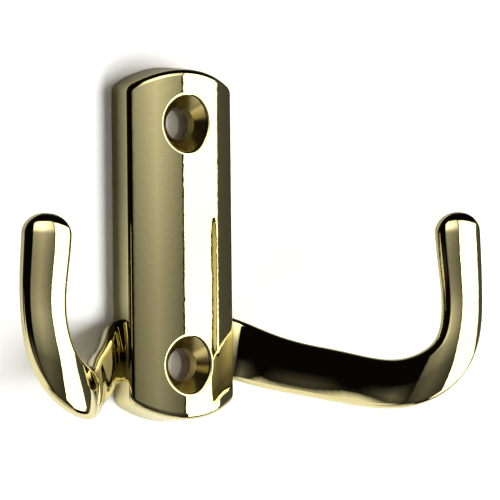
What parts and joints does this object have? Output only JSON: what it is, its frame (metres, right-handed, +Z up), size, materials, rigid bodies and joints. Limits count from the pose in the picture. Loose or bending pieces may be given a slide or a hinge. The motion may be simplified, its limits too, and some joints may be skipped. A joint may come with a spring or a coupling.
{
  "type": "coat hook",
  "caption": "Cast coat hook: a crowned back plate with arched ends and countersunk screw holes, and swept arms that turn up into round-ended prongs.",
  "frame": {"origin": "on the wall plane, midway between the two screw holes", "axes": "+Z up the plate, +X to the viewer's right, +Y into the wall; the front faces -Y"},
  "size_m": [0.0726, 0.023, 0.0472],
  "materials": {
    "polished_brass": "polished"
  },
  "bodies": {
    "root": {"coat_hook": "polished_brass"}
  },
  "joints": []
}
